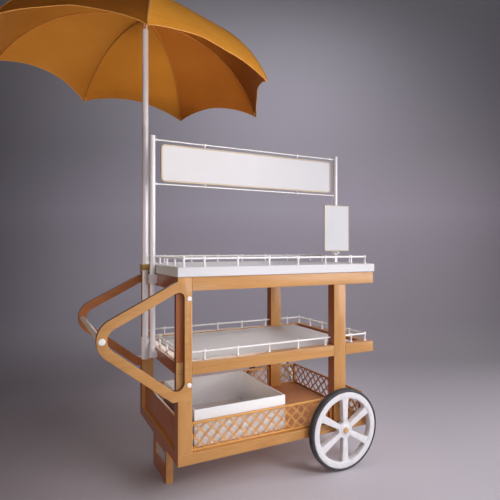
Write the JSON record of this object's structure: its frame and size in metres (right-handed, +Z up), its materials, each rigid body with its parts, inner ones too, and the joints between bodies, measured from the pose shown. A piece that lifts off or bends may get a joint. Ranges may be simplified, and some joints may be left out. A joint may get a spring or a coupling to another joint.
{
  "type": "vending cart",
  "caption": "Push vending cart: timber frame on spoked wheels and a leg, with counter, shelf, fenced floor, bin, sign on poles, price board and a tilting umbrella.",
  "frame": {"origin": "centre of the leg's foot, on the ground", "axes": "+X from the push handles towards the wheels, +Y from the front side to the back, +Z up"},
  "size_m": [1.6997, 1.2616, 2.1095],
  "materials": {
    "timber": "satin stained timber",
    "white_panel": "satin white laminate",
    "white_enamel": "white enamel",
    "pole_steel": "pale satin steel",
    "brass": "dull brass",
    "tyre_rubber": "matt rubber",
    "canopy_cloth": "woven canvas"
  },
  "bodies": {
    "cart_body": {"base_frame": "timber", "mid_frame": "timber", "top_frame": "timber", "post_right_front": "timber", "post_right_back": "timber", "post_left_front_lower": "timber", "post_left_front_upper": "timber", "post_left_back_lower": "timber", "post_left_back_upper": "timber", "handle_plate_front": "timber", "handle_plate_back": "timber", "shelf_deck": "timber", "base_floor": "timber", "left_end_panel": "timber", "lattice_front": "timber", "lattice_back": "timber", "lattice_right": "timber", "leg": "timber", "counter_slab": "white_panel", "sign_panel": "white_panel", "handle_cap_front": "white_enamel", "handle_cap_back": "white_enamel", "handle_bolt_front_lower": "white_enamel", "handle_bolt_front_upper": "white_enamel", "handle_bolt_back_lower": "white_enamel", "handle_bolt_back_upper": "white_enamel", "counter_rail_front": "white_enamel", "counter_rail_back": "white_enamel", "counter_rail_left": "white_enamel", "counter_rail_right": "white_enamel", "shelf_rail_front": "white_enamel", "shelf_rail_back": "white_enamel", "shelf_rail_left": "white_enamel", "shelf_rail_right": "white_enamel", "sign_rod_lower": "white_enamel", "sign_rod_upper": "white_enamel", "handle_bar": "pole_steel", "axle": "pole_steel", "mast_socket": "pole_steel", "sign_pole_left": "pole_steel", "sign_pole_right": "pole_steel", "sign_bracket_left_upper": "pole_steel", "sign_bracket_right_upper": "pole_steel", "sign_bracket_right_lower": "pole_steel", "mast_collar": "brass"},
    "wheel_front_body": {"wheel_front": "white_enamel", "tyre_front": "tyre_rubber", "hub_cap_front": "brass"},
    "wheel_back_body": {"wheel_back": "white_enamel", "tyre_back": "tyre_rubber", "hub_cap_back": "brass"},
    "mast_foot_body": {"mast_foot": "tyre_rubber"},
    "mast_body": {"mast": "pole_steel"},
    "canopy_body": {"canopy": "canopy_cloth", "rib_frame": "pole_steel", "finial": "pole_steel"},
    "bin_body": {"storage_bin": "white_panel"},
    "shelf_board_body": {"shelf_board": "white_panel"},
    "price_collar_body": {"price_collar": "white_enamel"},
    "price_board_body": {"price_board": "white_panel"}
  },
  "joints": [
    {"name": "wheel_front_spin", "type": "hinge", "parent": "cart_body", "child": "wheel_front_body", "pos_m": [0.7409, -0.315, 0.1824], "axis": [0, 1, 0], "continuous": true},
    {"name": "wheel_back_spin", "type": "hinge", "parent": "cart_body", "child": "wheel_back_body", "pos_m": [0.7409, 0.315, 0.1824], "axis": [0, 1, 0], "continuous": true},
    {"name": "umbrella_lift", "type": "slide", "parent": "cart_body", "child": "mast_foot_body", "axis": [0, 0, 1], "range_m": [0, 0.08]},
    {"name": "umbrella_turn", "type": "hinge", "parent": "mast_foot_body", "child": "mast_body", "pos_m": [-0.0485, 0.127, 0.5], "axis": [0, 0, 1], "continuous": true},
    {"name": "umbrella_tilt", "type": "hinge", "parent": "mast_body", "child": "canopy_body", "pos_m": [-0.0485, 0.127, 2.0419], "axis": [0.6266, 0.7793, 0], "range_deg": [-7.8, 12]},
    {"name": "bin_lift", "type": "slide", "parent": "cart_body", "child": "bin_body", "axis": [0, 0, 1], "range_m": [0, 0.12]},
    {"name": "shelf_board_lift", "type": "slide", "parent": "cart_body", "child": "shelf_board_body", "axis": [0, 0, 1], "range_m": [0, 0.15]},
    {"name": "price_board_height", "type": "slide", "parent": "cart_body", "child": "price_collar_body", "axis": [0, 0, 1], "range_m": [-0.015, 0.04]},
    {"name": "price_board_turn", "type": "hinge", "parent": "price_collar_body", "child": "price_board_body", "pos_m": [0.956, 0, 1], "axis": [0, 0, 1], "range_deg": [-90, 90]}
  ]
}
